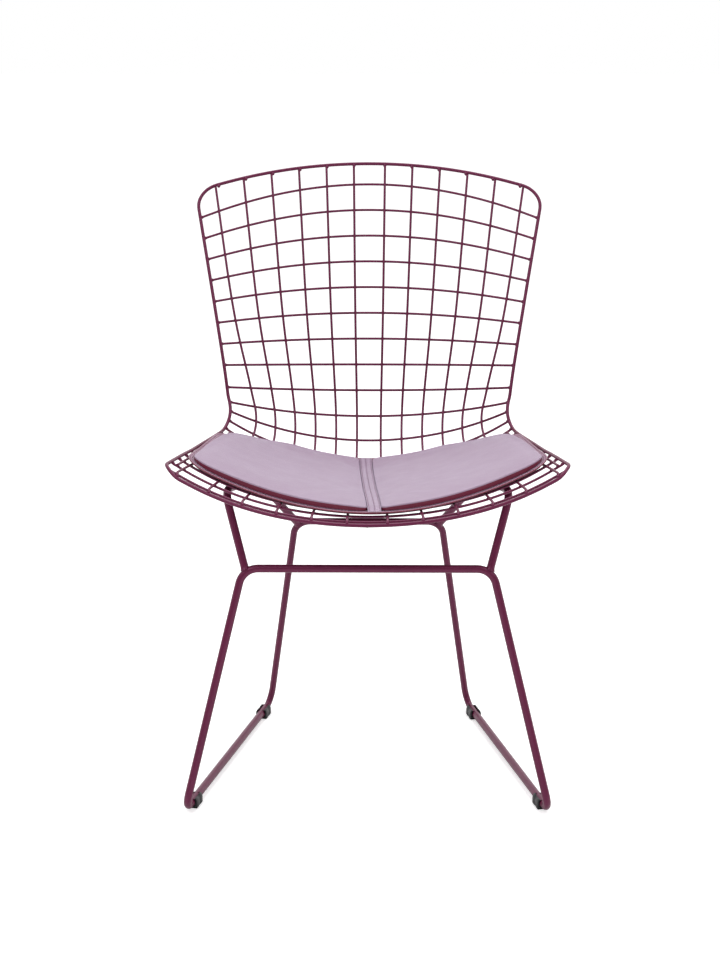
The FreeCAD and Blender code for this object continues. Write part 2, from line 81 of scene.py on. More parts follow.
def makeLight():
    for index, (place, size, power) in enumerate(light["lamps"]):
        data = bpy.data.lights.new(f"lamp{index}", "AREA")
        data.shape = "SQUARE"
        data.size = size
        data.energy = power
        lamp = bpy.data.objects.new(f"lamp{index}", data)
        lamp.location = place
        aim = Vector(light["aim"]) - Vector(place)
        lamp.rotation_euler = aim.to_track_quat("-Z", "Y").to_euler()
        scene.collection.objects.link(lamp)
    world = bpy.data.worlds.new("studio")
    scene.world = world
    world.use_nodes = True
    tree = world.node_tree
    back = tree.nodes["Background"]
    path = tree.nodes.new("ShaderNodeLightPath")
    sky = link(tree, "ShaderNodeTexCoord", {}).outputs["Generated"]
    depth = link(tree, "ShaderNodeSeparateXYZ", {"Vector": sky}).outputs["Y"]
    start, end = light["turnOver"]
    levels = []
    for front, behind in (light["soft"], light["gloss"]):
        levels.append(link(tree, "ShaderNodeMapRange", {
            "Value": depth, "From Min": start, "From Max": end, "To Min": front, "To Max": behind,
        }).outputs[0])
    lit = link(tree, "ShaderNodeMix", {0: path.outputs["Is Glossy Ray"], 2: levels[0], 3: levels[1]})
    level = link(tree, "ShaderNodeMix", {
        0: path.outputs["Is Camera Ray"], 2: lit.outputs[0], 3: light["background"],
    })
    back.inputs["Color"].default_value = (1, 1, 1, 1)
    tree.links.new(level.outputs[0], back.inputs["Strength"])


# Adds a node; an input is a value or another node's output
def link(tree, kind, inputs, **settings):
    node = tree.nodes.new(kind)
    for key, value in settings.items():
        setattr(node, key, value)
    for key, value in inputs.items():
        if isinstance(value, bpy.types.NodeSocket):
            tree.links.new(value, node.inputs[key])
        else:
            node.inputs[key].default_value = value
    return node


def makeFloor():
    mesh = bpy.data.meshes.new("floor")
    half = light["floorHalf"]
    corners = [(-half, -half, 0), (half, -half, 0), (half, half, 0), (-half, half, 0)]
    mesh.from_pydata(corners, [], [(0, 1, 2, 3)])
    floor = bpy.data.objects.new("floor", mesh)
    scene.collection.objects.link(floor)
    material = bpy.data.materials.new("floorPaper")
    material.use_nodes = True
    tree = material.node_tree
    tree.nodes.clear()
    grey = light["floorColour"]
    matte = link(tree, "ShaderNodeBsdfDiffuse", {"Color": (grey, grey, grey, 1)})
    seen = link(tree, "ShaderNodeLightPath", {}).outputs["Is Camera Ray"]
    lift = link(tree, "ShaderNodeMath", {0: seen, 1: light["floorLift"]}, operation="MULTIPLY")
    glow = link(tree, "ShaderNodeEmission", {"Strength": lift.outputs[0]})
    both = link(tree, "ShaderNodeAddShader", {0: matte.outputs[0], 1: glow.outputs[0]})
    link(tree, "ShaderNodeOutputMaterial", {"Surface": both.outputs[0]})
    mesh.materials.append(material)


scene.view_settings.view_transform = "Standard"
makeCamera()
makeLight()
makeFloor()
print("studio: camera, lamps and floor")


# Finishes: two tones, their patches per metre, roughness, and relief as kind, number per metre and depth
grain = (("cells", 900.0, 0.00012), ("noise", 160.0, 0.0003))  # pores, then creases
sheenTint = (0.86, 0.80, 0.95, 1)
coat = {
    "colour": (0.128, 0.012, 0.046),
    "deep": (0.095, 0.009, 0.034),
    "patch": 22.0,
    "roughness": (0.30, 0.40),
    "relief": (("noise", 420.0, 0.00002), ("noise", 90.0, 0.00008)),  # orange peel, then waves
    "sockets": {"Coat Weight": 0.08, "Coat Roughness": 0.12, "Specular IOR Level": 0.6,
                "Specular Tint": (0.92, 0.46, 0.74, 1)},
}
# Top leather: a mauve lighter than the burgundy walls, partly the cover's own second tone and partly painted
# highlight for the light its top catches
topToneAndPaintedHighlight = {
    "colour": (0.36, 0.265, 0.365),
    "deep": (0.30, 0.20, 0.29),
    "patch": 14.0,
    "roughness": (0.36, 0.46),
    "relief": grain,
    "sockets": {"Sheen Weight": 0.35, "Sheen Roughness": 0.4, "Sheen Tint": sheenTint},
}
sideHide = {
    "colour": (0.195, 0.022, 0.052),
    "deep": (0.140, 0.015, 0.038),
    "patch": 18.0,
    "roughness": (0.30, 0.42),
    "relief": grain,
    "sockets": {"Coat Weight": 0.15, "Coat Roughness": 0.2, "Specular IOR Level": 0.35},
}
# Flange leather: lighter than the walls, partly its own tone and partly painted highlight on the flange's
# lit top
edgeToneAndPaintedHighlight = {
    "colour": (0.33, 0.165, 0.245),
    "deep": (0.25, 0.11, 0.18),
    "patch": 18.0,
    "roughness": (0.34, 0.44),
    "relief": grain,
    "sockets": {"Sheen Weight": 0.4, "Sheen Roughness": 0.4, "Sheen Tint": sheenTint},
}
thread = {
    "colour": (0.22, 0.10, 0.16),
    "deep": sideHide["deep"],
    "patch": 300.0,
    "roughness": (0.5, 0.6),
    "relief": (("noise", 2500.0, 0.0001),),
    "sockets": {},
}
plastic = {
    "colour": (0.012, 0.011, 0.014),
    "deep": (0.006, 0.006, 0.008),
    "patch": 40.0,
    "roughness": (0.36, 0.5),
    "relief": (("noise", 1500.0, 0.00005), ("noise", 120.0, 0.00006)),
    "sockets": {},
}
zinc = {
    "colour": (0.55, 0.56, 0.58),
    "deep": (0.40, 0.41, 0.43),
    "patch": 80.0,
    "roughness": (0.26, 0.4),
    "relief": (("noise", 900.0, 0.00004),),
    "sockets": {"Metallic": 1.0},
}
board = {
    "colour": (0.055, 0.020, 0.030),
    "deep": (0.03, 0.012, 0.018),
    "patch": 60.0,
    "roughness": (0.6, 0.8),
    "relief": (("noise", 1200.0, 0.0001),),
    "sockets": {},
}


# A painted, moulded or leather surface: mottled colour, uneven gloss and layered relief
def surface(name, look):
    material = bpy.data.materials.new(name)
    material.use_nodes = True
    tree = material.node_tree
    shader = tree.nodes["Principled BSDF"]
    place = link(tree, "ShaderNodeTexCoord", {}).outputs["Object"]
    patch = link(tree, "ShaderNodeTexNoise", {
        "Vector": place, "Scale": look["patch"], "Detail": 4.0, "Roughness": 0.6,
    })
    tone = link(tree, "ShaderNodeMix", {
        0: patch.outputs["Fac"], 6: (*look["deep"], 1), 7: (*look["colour"], 1),
    }, data_type="RGBA")
    tree.links.new(tone.outputs[2], shader.inputs["Base Color"])
    gloss = link(tree, "ShaderNodeTexNoise", {"Vector": place, "Scale": look["patch"] * 3, "Detail": 3.0})
    span = link(tree, "ShaderNodeMapRange", {
        "Value": gloss.outputs["Fac"], "From Min": 0.3, "From Max": 0.7,
        "To Min": look["roughness"][0], "To Max": look["roughness"][1],
    })
    tree.links.new(span.outputs[0], shader.inputs["Roughness"])
    last = None
    for kind, scale, depth in look["relief"]:
        if kind == "cells":
            cells = link(tree, "ShaderNodeTexVoronoi", {"Vector": place, "Scale": scale})
            height = cells.outputs["Distance"]
        else:
            waves = link(tree, "ShaderNodeTexNoise", {"Vector": place, "Scale": scale, "Detail": 2.0})
            height = waves.outputs["Fac"]
        bump = link(tree, "ShaderNodeBump", {"Height": height, "Strength": 1.0, "Distance": depth})
        if last:
            tree.links.new(last.outputs[0], bump.inputs["Normal"])
        last = bump
    tree.links.new(last.outputs[0], shader.inputs["Normal"])
    for key, value in look["sockets"].items():
        shader.inputs[key].default_value = value
    return material


coatedMetal = surface("coatedMetal", coat)
topLeatherAndPaintedHighlight = surface("topLeatherAndPaintedHighlight", topToneAndPaintedHighlight)
sideLeather = surface("sideLeather", sideHide)
edgeLeatherAndPaintedHighlight = surface("edgeLeatherAndPaintedHighlight", edgeToneAndPaintedHighlight)
threadCord = surface("threadCord", thread)
blackPlastic = surface("blackPlastic", plastic)
zincSteel = surface("zincSteel", zinc)
backBoard = surface("backBoard", board)
wireKinds = ("wire", "frame", "rail", "clamp")


def finishFor(name):
    if name == "clamp_screws":
        return zincSteel
    if any(kind in name for kind in wireKinds):
        return coatedMetal
    if "glide" in name:
        return blackPlastic
    if name == "pad_board":
        return backBoard
    return sideLeather if name == "pad_flange" else topLeatherAndPaintedHighlight


for name, node in nodes.items():
    for place in node.material_slots:
        place.material = finishFor(name)

edgeBreak = {"clamp": 0.4, "screws": 0.35}  # millimetres, by the end of the node's name
sharpAngle = math.radians(50)
mergeWithin = 0.00001


# Breaks the sharp edges of a flat-cut or turned piece
def soften(name, width):
    merge = nodes[name].modifiers.new("merge", "WELD")
    merge.merge_threshold = mergeWithin
    edge = nodes[name].modifiers.new("edge", "BEVEL")
    edge.width = width * mm
    edge.segments = 2
    edge.limit_method = "ANGLE"
    edge.angle_limit = sharpAngle


for name in nodes:
    for kind, width in edgeBreak.items():
        if name.endswith(kind):
            soften(name, width)
print("finishes: on", len(nodes), "nodes")


# Shell of the chair in millimetres, as it is drawn, so that beads and pad sit on its wires
shellForm = {
    "pitch": 39.0,
    "crossWires": 23,
    "longWires": 6,
    "wire": 3.6,
    "rim": 5.0,
    "frontHeight": 426.0,
    "lip": 10.0,
    "profile": ((10.0, 50.0, -4.0), (153.0, -4.0, -8.4), (215.0, -8.4, -1.7)),  # run, slope in, slope out
    "bendRadius": 119.0,
    "overrun": 3,  # rows that the profile goes on past the last cross wire
    "backSlope": 77.4,
    "backCurl": 1.34,
    "waistRow": 12,
    "waistHalf": 205.0,
    "softness": 58.0,
    "seatFlare": 0.155,
    "backFlare": 0.142,
    "frontBow": 64.4,
    "frontFlat": 10.5,
    "dish": 5.8,
    "waistBow": 65.9,
    "topBow": 34.0,
    "frontSweep": 53.2,
    "topSweep": 57.5,
    "frontSweepRows": 3.5,
    "topSweepRows": 2.55,
    "topGap": 31.0,
    "topRise": 18.0,
    "topCorner": 30.0,
    "frontCorner": 24.0,
    "fan": (1.05, 250.0, 0.90, 1.0, 136.0),  # at the front, its reach, at the waist, at the top, its reach
    "centreShare": 0.091,
    "stepShare": 0.160,
    "sideWireInset": 10.0,
    "sideWireRows": (1, 9),
}
pitch = shellForm["pitch"]
lastCross = (shellForm["crossWires"] - 1) * pitch
waist = shellForm["waistRow"] * pitch
wireRadius = shellForm["wire"] / 2
rimRadius = shellForm["rim"] / 2


def profileRuns():
    runs = list(shellForm["profile"])
    slopeIn, slopeOut = runs[-1][2], shellForm["backSlope"]
    bend = math.radians(slopeOut - slopeIn) * shellForm["bendRadius"]
    back = lastCross + shellForm["overrun"] * pitch - runs[1][0] - runs[2][0] - bend
    runs.append((bend, slopeIn, slopeOut))
    runs.append((back, slopeOut, slopeOut - shellForm["backCurl"] * back / 100))
    return runs


runs = profileRuns()


def walk(run):
    y = z = 0.0
    left = max(run, 0.0)
    slope = math.radians(runs[0][1])
    for length, slopeIn, slopeOut in runs:
        step = min(left, length)
        bend = math.radians(slopeOut - slopeIn) / length
        start = math.radians(slopeIn)
        slope = start + bend * step
        y += (math.sin(slope) - math.sin(start)) / bend
        z += (math.cos(start) - math.cos(slope)) / bend
        left -= step
        if left <= 0:
            break
    return y, z, slope


lipY, lipZ, _ = walk(shellForm["lip"])


def profileAt(s):
    y, z, slope = walk(s + shellForm["lip"])
    return y - lipY, z - lipZ + shellForm["frontHeight"], slope


def halfWidth(s):
    flare = shellForm["seatFlare"] if s < waist else shellForm["backFlare"]
    soft = shellForm["softness"]
    return shellForm["waistHalf"] + flare * (math.hypot(s - waist, soft) - soft)


def bow(s):
    middle = shellForm["waistBow"]
    if s < waist:
        dish = shellForm["dish"] * math.sin(math.pi * max(s, 0) / waist) ** 2
        return middle + (shellForm["frontBow"] - middle) * (waist - s) / waist + dish
    return middle + (shellForm["topBow"] - middle) * (s - waist) / (lastCross - waist)


def ramp(x):
    return (x + math.hypot(x, pitch)) / 2


def sweep(s):
    frontEnd = waist + shellForm["frontSweepRows"] * pitch
    backStart = waist + shellForm["topSweepRows"] * pitch
    rearward = shellForm["frontSweep"] * ramp(frontEnd - s) / ramp(frontEnd)
    return rearward - shellForm["topSweep"] * ramp(s - backStart) / ramp(lastCross - backStart)


def arcOf(s):
    w, b = halfWidth(s), bow(s)
    radius = (w * w + b * b) / (2 * b)
    return radius, math.asin(w / radius)


def halfArc(s):
    radius, angle = arcOf(s)
    return radius * angle


# Point of the shell, its normal and the direction of the long wires there
def frameAt(s, across):
    radius, _ = arcOf(s)
    angle = across / radius
    y, z, slope = profileAt(max(s, 0))
    tangent = Vector((0, math.cos(slope), math.sin(slope)))
    normal = Vector((0, -math.sin(slope), math.cos(slope)))
    x = radius * math.sin(angle)
    share = (x / halfWidth(s)) ** 2
    flat = shellForm["frontFlat"] * max(waist - s, 0) / waist
    rise = radius * (1 - math.cos(angle)) - flat * share * (1 - share)
    point = Vector((x, y, z)) + normal * rise + tangent * sweep(s) * share
    if s < 0:
        lipSpot, lipHeight, slope = profileAt(s)
        point += Vector((0, lipSpot - y, lipHeight - z))
        normal = Vector((0, -math.sin(slope), math.cos(slope)))
        tangent = Vector((0, math.cos(slope), math.sin(slope)))
    return point, Vector((-math.sin(angle), 0, 0)) + normal * math.cos(angle), tangent


topCentre = lastCross + shellForm["topGap"]
originY = (frameAt(-shellForm["lip"], 0)[0].y + frameAt(topCentre, 0)[0].y) / 2


def shell(s, across, lift=0.0):
    point, normal, _ = frameAt(s, across)
    return point + normal * lift - Vector((0, originY, 0))


def acrossAt(s, x):
    radius, _ = arcOf(s)
    return radius * math.asin(x / radius)


def topEdge(across):
    return topCentre + shellForm["topRise"] * (across / halfArc(lastCross)) ** 2


def rimReach(s):
    reach = halfArc(s)
    top, front = shellForm["topCorner"], shellForm["frontCorner"]
    for corner, distance in ((top, topEdge(reach) - s), (front, s + shellForm["lip"])):
        if distance < corner:
            reach -= corner - math.sqrt(max(corner ** 2 - (corner - distance) ** 2, 0))
    return reach


def longAcross(index, s):
    front, frontReach, middle, top, topReach = shellForm["fan"]
    away = s - waist
    goal, reach = (front, frontReach) if away < 0 else (top, topReach)
    spread = middle + (goal - middle) * (1 - math.exp(-((away / reach) ** 2)))
    return (shellForm["centreShare"] + shellForm["stepShare"] * index) * spread * halfArc(s)


# Making and placing pieces
# A piece from points in millimetres, welded, turned outwards and riding on the chair
def addPiece(name, points, faces, finish, replaced=()):
    mesh = bpy.data.meshes.new(name)
    mesh.from_pydata([Vector(p) * mm for p in points], [], faces)
    mesh.materials.append(finish)
    obj = bpy.data.objects.new(name, mesh)
    scene.collection.objects.link(obj)
    tidyMesh(mesh)
    settle(obj, replaced)
    return obj


def tidyMesh(mesh, merge=mergeWithin):
    form = bmesh.new()
    form.from_mesh(mesh)
    if merge:
        bmesh.ops.remove_doubles(form, verts=form.verts, dist=merge)
    bmesh.ops.recalc_face_normals(form, faces=form.faces)
    form.to_mesh(mesh)
    form.free()
    for face in mesh.polygons:
        face.use_smooth = True


def settle(obj, replaced=()):
    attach(obj, "root")
    if replaced:
        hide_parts(*replaced)


# Faces of a skin over equal loops of points
def rings(loops, closedAlong=False, caps=True):
    count = len(loops[0])
    faces = []
    last = len(loops) if closedAlong else len(loops) - 1
    for i in range(last):
        a, b = i * count, (i + 1) % len(loops) * count
        for j in range(count):
            k = (j + 1) % count
            faces.append((a + j, a + k, b + k, b + j))
    if caps and not closedAlong:
        faces.append(tuple(range(count))[::-1])
        faces.append(tuple(range((len(loops) - 1) * count, len(loops) * count)))
    return faces


# Two directions square to one
def squareTo(direction):
    side = direction.orthogonal().normalized()
    return side, direction.cross(side).normalized()


def pointVector(tree, label):
    read = link(tree, "GeometryNodeInputNamedAttribute", {"Name": label}, data_type="FLOAT_VECTOR")
    return read.outputs[0]


# Geometry Nodes: one small round form on every point of a mesh, turned by the point's own directions
def scatterTree(name, form, sizes, alongCurve):
    tree = bpy.data.node_groups.new(name, "GeometryNodeTree")
    tree.interface.new_socket("Geometry", in_out="INPUT", socket_type="NodeSocketGeometry")
    keys = {}
    for label in sizes:
        socket = tree.interface.new_socket(label, in_out="INPUT", socket_type="NodeSocketFloat")
        keys[label] = socket.identifier
    tree.interface.new_socket("Geometry", in_out="OUTPUT", socket_type="NodeSocketGeometry")
    source = link(tree, "NodeGroupInput", {})
    points = source.outputs["Geometry"]
    if alongCurve:
        curve = link(tree, "GeometryNodeMeshToCurve", {"Mesh": points}).outputs[0]
        even = link(tree, "GeometryNodeResampleCurve", {"Curve": curve, "Length": source.outputs["Pitch"]},
                    mode="LENGTH")
        points = even.outputs[0]
        along = link(tree, "GeometryNodeInputTangent", {}).outputs[0]
    else:
        along = pointVector(tree, "along")
    upright = link(tree, "FunctionNodeAlignRotationToVector", {"Vector": pointVector(tree, "up")}, axis="Z")
    turned = link(tree, "FunctionNodeAlignRotationToVector", {
        "Rotation": upright.outputs[0], "Vector": along,
    }, axis="X", pivot_axis="Z")
    segments, ringCount = form
    ball = link(tree, "GeometryNodeMeshUVSphere", {"Segments": segments, "Rings": ringCount, "Radius": mm})
    smooth = link(tree, "GeometryNodeSetShadeSmooth", {"Geometry": ball.outputs["Mesh"]})
    placed = link(tree, "GeometryNodeInstanceOnPoints", {
        "Points": points, "Instance": smooth.outputs[0], "Rotation": turned.outputs[0],
        "Scale": pointVector(tree, "grow"),
    })
    real = link(tree, "GeometryNodeRealizeInstances", {"Geometry": placed.outputs[0]})
    paint = link(tree, "GeometryNodeSetMaterial", {"Geometry": real.outputs[0]})
    link(tree, "NodeGroupOutput", {"Geometry": paint.outputs[0]})
    return tree, keys, paint


# Each place is (point, up, along, grow), in millimetres; edges join them where the forms follow a line
def scatter(name, places, edges, form, finish, sizes=None):
    sizes = sizes or {}
    mesh = bpy.data.meshes.new(name + "Guide")
    mesh.from_pydata([Vector(p[0]) * mm for p in places], edges, [])
    for column, label in enumerate(("up", "along", "grow"), start=1):
        layer = mesh.attributes.new(label, "FLOAT_VECTOR", "POINT")
        for index, place in enumerate(places):
            layer.data[index].vector = place[column]
    guide = bpy.data.objects.new(name + "Guide", mesh)
    scene.collection.objects.link(guide)
    tree, keys, paint = scatterTree(name + "Tree", form, sizes, bool(edges))
    paint.inputs["Material"].default_value = finish
    modifier = guide.modifiers.new("scatter", "NODES")
    modifier.node_group = tree
    for label, value in sizes.items():
        modifier[keys[label]] = value
    bpy.context.view_layer.update()
    seen = guide.evaluated_get(bpy.context.evaluated_depsgraph_get())
    made = bpy.data.meshes.new_from_object(seen)
    guide.modifiers.remove(modifier)
    bpy.data.objects.remove(guide)
    obj = bpy.data.objects.new(name, made)
    made.name = name
    if not made.materials:
        made.materials.append(finish)
    scene.collection.objects.link(obj)
    return obj


# Weld beads of the shell: half sizes along the long wire, across it and through the shell
bead = {
    "crossing": (2.5, 2.4, 1.5),
    "rimEnd": (2.7, 3.0, 2.3),
    "longEnd": (3.0, 2.7, 2.3),
    "buttWeld": (2.9, 3.2, 2.9),
    "overlap": 0.4,
    "sink": 0.7,  # share of the wire radius
    "unevenness": 0.12,
    "scale": (3.1, 2.7),
    "seed": 4,
    "form": (8, 5),  # segments, rings
}


def beadPlaces():
    places = []
    alongScale, acrossScale = bead["scale"]
    firstRow, lastRow = shellForm["sideWireRows"]
    sink = wireRadius * bead["sink"]
    rimInset = rimRadius + bead["overlap"]

    def put(s, across, lift, grow):
        point = shell(s, across, lift)
        _, normal, tangent = frameAt(s, across)
        spot = Vector((s * alongScale, across * acrossScale, bead["seed"]))
        uneven = 1 + bead["unevenness"] * noise.noise(spot)
        places.append((point, normal, tangent, Vector(grow) * uneven))

    for row in range(shellForm["crossWires"]):
        s = row * pitch
        for sign in (1, -1):
            for index in range(shellForm["longWires"]):
                put(s, sign * longAcross(index, s), 0, bead["crossing"])
            if firstRow <= row <= lastRow:
                put(s, sign * (rimReach(s) - shellForm["sideWireInset"]), 0, bead["crossing"])
            put(s, sign * (rimReach(s) - rimInset), -sink, bead["rimEnd"])
    for sign in (1, -1):
        for index in range(shellForm["longWires"]):
            across = longAcross(index, lastCross)
            put(topEdge(across) - rimInset, sign * across, sink, bead["longEnd"])
            across = longAcross(index, 0)
            put(rimInset - shellForm["lip"], sign * across, sink, bead["longEnd"])
    put(-shellForm["lip"], 0, 0, bead["buttWeld"])
    return places


beads = scatter("weldBeads", beadPlaces(), [], bead["form"], coatedMetal)
settle(beads)
print("shell: weld beads", len(beads.data.polygons))


# Base: corners of the rods' centre lines, millimetres
base = {
    "rod": 11.0,
    "footHeight": 8.5,
    "frontFoot": (248.7, 27.0),
    "rearFoot": 151.9,
    "runner": 434.8,
    "kink": (168.5, 49.0, 338.6),
    "kinkBend": 26.0,
    "footBend": 20.0,
    "rearBar": (107.0, 117.0, 331.0),
    "rearBend": 24.0,
    "weldRun": 1.5,
    "railRows": (2.0, 6.5),
    "railHalf": (189.6, 158.0),
    "railDrop": 0.6,
    "railSeat": 0.15,
}
weldForm = {
    "filletSwell": 1.6,
    "filletLength": 6.5,
    "buttSwell": 0.55,
    "buttLength": 4.5,
    "buttPower": 0.8,
    "filletPower": 1.6,
    "kinkStart": 3.5,
    "barStart": 3.0,
    "sink": 0.15,
    "unevenness": 0.25,
    "grain": (0.3, 2.2),  # along the rod and round it
    "steps": 7,
    "around": 28,
}


def bendMiddle(before, corner, after, radius):
    back, ahead = (before - corner).normalized(), (after - corner).normalized()
    half = back.angle(ahead) / 2
    return (corner + (back + ahead).normalized() * (radius / math.sin(half) - radius),
            corner + back * (radius / math.tan(half)))


def baseCorners(sign):
    footY = base["frontFoot"][1] - originY
    rearY = footY + base["runner"]
    front = Vector((sign * base["frontFoot"][0], footY, base["footHeight"]))
    rear = Vector((sign * base["rearFoot"], rearY, base["footHeight"]))
    kink = Vector((sign * base["kink"][0], footY + base["kink"][1], base["kink"][2]))
    bar = Vector((sign * base["rearBar"][0], rearY - base["rearBar"][1], base["rearBar"][2]))
    return front, rear, kink, bar


# A weld bead round a rod, thickest at its middle or at one end
def collar(place, axis, radius, lengths, swell, seed):
    side, other = squareTo(axis)
    alongGrain, roundGrain = weldForm["grain"]
    loops = []
    for i in range(weldForm["steps"]):
        share = i / (weldForm["steps"] - 1)
        along = lengths[0] + (lengths[1] - lengths[0]) * share
        if lengths[0] < 0:
            rise = math.sin(math.pi * share) ** weldForm["buttPower"]
        else:
            rise = (1 - share) ** weldForm["filletPower"]
        loop = []
        for j in range(weldForm["around"]):
            turn = 2 * math.pi * j / weldForm["around"]
            out = side * math.cos(turn) + other * math.sin(turn)
            spot = (out * roundGrain + axis * along * alongGrain) + Vector((seed, 0, 0))
            rough = 1 + weldForm["unevenness"] * noise.noise(spot)
            loop.append(place + axis * along + out * (radius - weldForm["sink"] + swell * rise * rough))
        loops.append(loop)
    return loops


# Where a runner is welded to the rear leg's foot, and the way forward along it
def runnerWeld(front, rear, bar):
    ahead = (front - rear).normalized()
    return ahead, bendMiddle(front, rear, bar, base["footBend"])[1] + ahead * base["weldRun"]


def makeRodWelds():
    points, faces = [], []
    corners = {1: baseCorners(1), -1: baseCorners(-1)}
    radius = base["rod"] / 2
    lift = -(2 * wireRadius + base["railSeat"] + radius + base["railDrop"])
    swell, reach, butt = weldForm["filletSwell"], weldForm["filletLength"], weldForm["buttLength"]
    for sign in (1, -1):
        front, rear, kink, bar = corners[sign]
        mirror = corners[-sign]
        ahead, weld = runnerWeld(front, rear, bar)
        kinkMiddle = bendMiddle(front, kink, mirror[2], base["kinkBend"])[0]
        barMiddle = bendMiddle(rear, bar, mirror[3], base["rearBend"])[0]
        tops = []
        for row, half in zip(base["railRows"], base["railHalf"]):
            s = row * pitch
            tops.append(shell(s, sign * acrossAt(s, half), lift))
        up, down = (tops[0] - kinkMiddle).normalized(), (tops[1] - barMiddle).normalized()
        joints = (
            (weld, ahead, radius, (-butt, butt), weldForm["buttSwell"]),
            (kinkMiddle + up * weldForm["kinkStart"], up, radius, (0, reach), swell),
            (barMiddle + down * weldForm["barStart"], down, radius, (0, reach), swell),
        )
        for number, joint in enumerate(joints):
            loops = collar(*joint, seed=number * 3 + sign)
            start = len(points)
            faces += [tuple(start + i for i in face) for face in rings(loops)]
            points += [p for loop in loops for p in loop]
    obj = addPiece("rodWelds", points, faces, coatedMetal)
    print("base: weld fillets", len(obj.data.polygons))


makeRodWelds()


# Seat pad: outline and layers, millimetres
pad = {
    "front": 16.0,
    "frontRise": 18.0,
    "frontCrest": 0.88,
    "rear": 424.0,
    "shoulder": 281.0,
    "shoulderHalf": 221.0,
    "flatHalf": 110.0,
    "tip": 244.0,
    "sideFoot": 90.0,
    "tipRound": 25.0,
    "turn": 2.1,
    "boardTop": 6.55,  # above the middle of the shell
    "flange": 1.8,
    "flangeWidth": 8.0,
    "flangeCover": 15.0,
    "flangeThin": 0.94,
    "flangeRoll": (  # inset and lift of the outer edge
        (0.25, 0.1), (0.0, 0.55), (0.0, 1.2), (0.3, 1.65), (0.9, 1.85), (1.7, 1.85),
    ),
    "stitchDip": ((-0.45, 1.75), (-0.15, 1.35), (0.15, 1.35), (0.45, 1.75), (1.3, 1.92)),
    "flangeShoulder": (7.8, 1.75),
    "flangeHeel": (7.0, 0.0),
    "gap": 0.4,
    "rearPower": 1.5,
    "seamPitch": 3.6,
    "seamSteps": (160, 40, 200),  # along the front, a tip and the rear
    "seamSoftness": 14,
    "tipSoftness": 15.0,
    "tipSoftOver": (120, 60, 6),  # from where, over what, steps
}
cushion = {
    "start": 9.4,
    "edge": 8.6,
    "crown": 2.2,
    "swell": 2.4,  # how far the pressed filling may lift the leather
    "seamRound": 1.8,
    "innerCorner": 9.0,
    "seat": 0.05,
    "fullness": 5,  # the higher, the nearer to its ends the cushion stays full
    "wallShares": (0.62, 0.38),  # of the edge, at the ends and added between them
    "crownShares": (0.4, 0.6),
    "crownReach": 26,
    "pressure": 4.0,
    "quality": 6,
    "frames": 20,
    "held": 2.5,  # in from the seam
    "freeing": 14,
    "pucker": 0.22,
    "puckerPlace": (6, 5),
    "puckerScale": 0.12,
    "seed": 7,
    "columns": 24,
    "rows": 30,
}
strip = {
    "half": 8.9,
    "edge": 4.3,
    "puff": 0.9,
    "frontInset": 2.0,
    "rearInset": 5.0,
    "frontFall": 16.0,
    "rearFall": 4.0,
    "fallPower": 0.9,
    "seat": 0.15,
    "least": 0.5,
    "shoulder": {"width": 0.9, "depth": 0.8},
    "tucks": (0.3, 0.9),
    "between": (5.2, 3.4, 1.8),
    "lines": (-7.2, 0.0, 7.2),
    "groove": 0.9,
    "grooveHalf": 0.7,
    "grooveSteps": (-0.7, -0.35, 0.0, 0.35, 0.7),
    "rows": 70,
    "endSteps": (0, 0.6, 1.4, 2.6, 4.4, 7.0, 10.0, 14.0),
}
stitch = {
    "pitch": 4.4,
    "half": (1.55, 0.42, 0.34),
    "flangeLines": (2.4, 5.0),
    "flangeLift": 1.55,
    "stripLift": 0.15,
    "endGap": 3,
    "steps": 90,
    "form": (6, 4),
}


def padFront(x, inset=0.0):
    tip = pad["tip"]
    x = min(abs(x) * tip / (tip - inset), tip)
    crest = min(x / (pad["frontCrest"] * tip), 1)
    corner = pad["tipRound"]
    beyond = max(x - (tip - corner), 0)
    s = pad["front"] + pad["frontRise"] * (1 - math.cos(math.pi * crest))
    return s + corner - math.sqrt(max(corner ** 2 - beyond ** 2, 0)) + inset


def padRear(x, inset=0.0):
    tip, half, flat = pad["tip"], pad["shoulderHalf"], pad["flatHalf"]
    x = min(abs(x) * tip / (tip - inset), tip)
    shoulder = pad["shoulder"]
    if x > half:
        return shoulder - (shoulder - pad["sideFoot"]) * (x - half) / (tip - half) - inset
    power = pad["rearPower"]
    turn = max(x - flat, 0) / (half - flat)
    return shoulder + (pad["rear"] - shoulder) * max(1 - turn ** power, 0) ** (1 / power) - inset


# A point over the shell, in the slightly turned section of the pad at x
def padPoint(x, s, lift):
    turn = math.tan(math.radians(pad["turn"])) * (1 - abs(x) / pad["tip"])
    at = x
    for _ in range(3):
        slope = profileAt(s)[2]
        point = shell(s, acrossAt(s, at))
        lean = math.asin(at / arcOf(s)[0])
        point += Vector((0, -math.sin(slope), math.cos(slope))) * (lift / math.cos(lean))
        at = x - turn * point.y
    point.x = at
    return point


# The rear edge with its shoulder rounded off
def softRear(x, inset):
    begins, run, steps = pad["tipSoftOver"]
    reach = pad["tipSoftness"] * min(max((x - begins) / run, 0), 1)
    tipX = pad["tip"] - inset
    near = [padRear(min(x + reach * i / steps, tipX), inset) for i in range(-steps, steps + 1)]
    return min(padRear(x, inset), sum(near) / len(near))


edgeSteps = (0, 0.5, 1.2, 2.2, 4.0, 7.0, 12.0)
shortSpan = 70  # under this the edge steps shrink


# Places from low to high, crowded at both ends
def spaced(low, high, count, nearEdge=edgeSteps):
    length = high - low
    scale = min(1, length / shortSpan)
    ends = [step * scale for step in nearEdge]
    inner = length - 2 * ends[-1]
    middle = [ends[-1] + inner * i / count for i in range(1, count)]
    return [low + d for d in ends + middle] + [high - d for d in reversed(ends)]


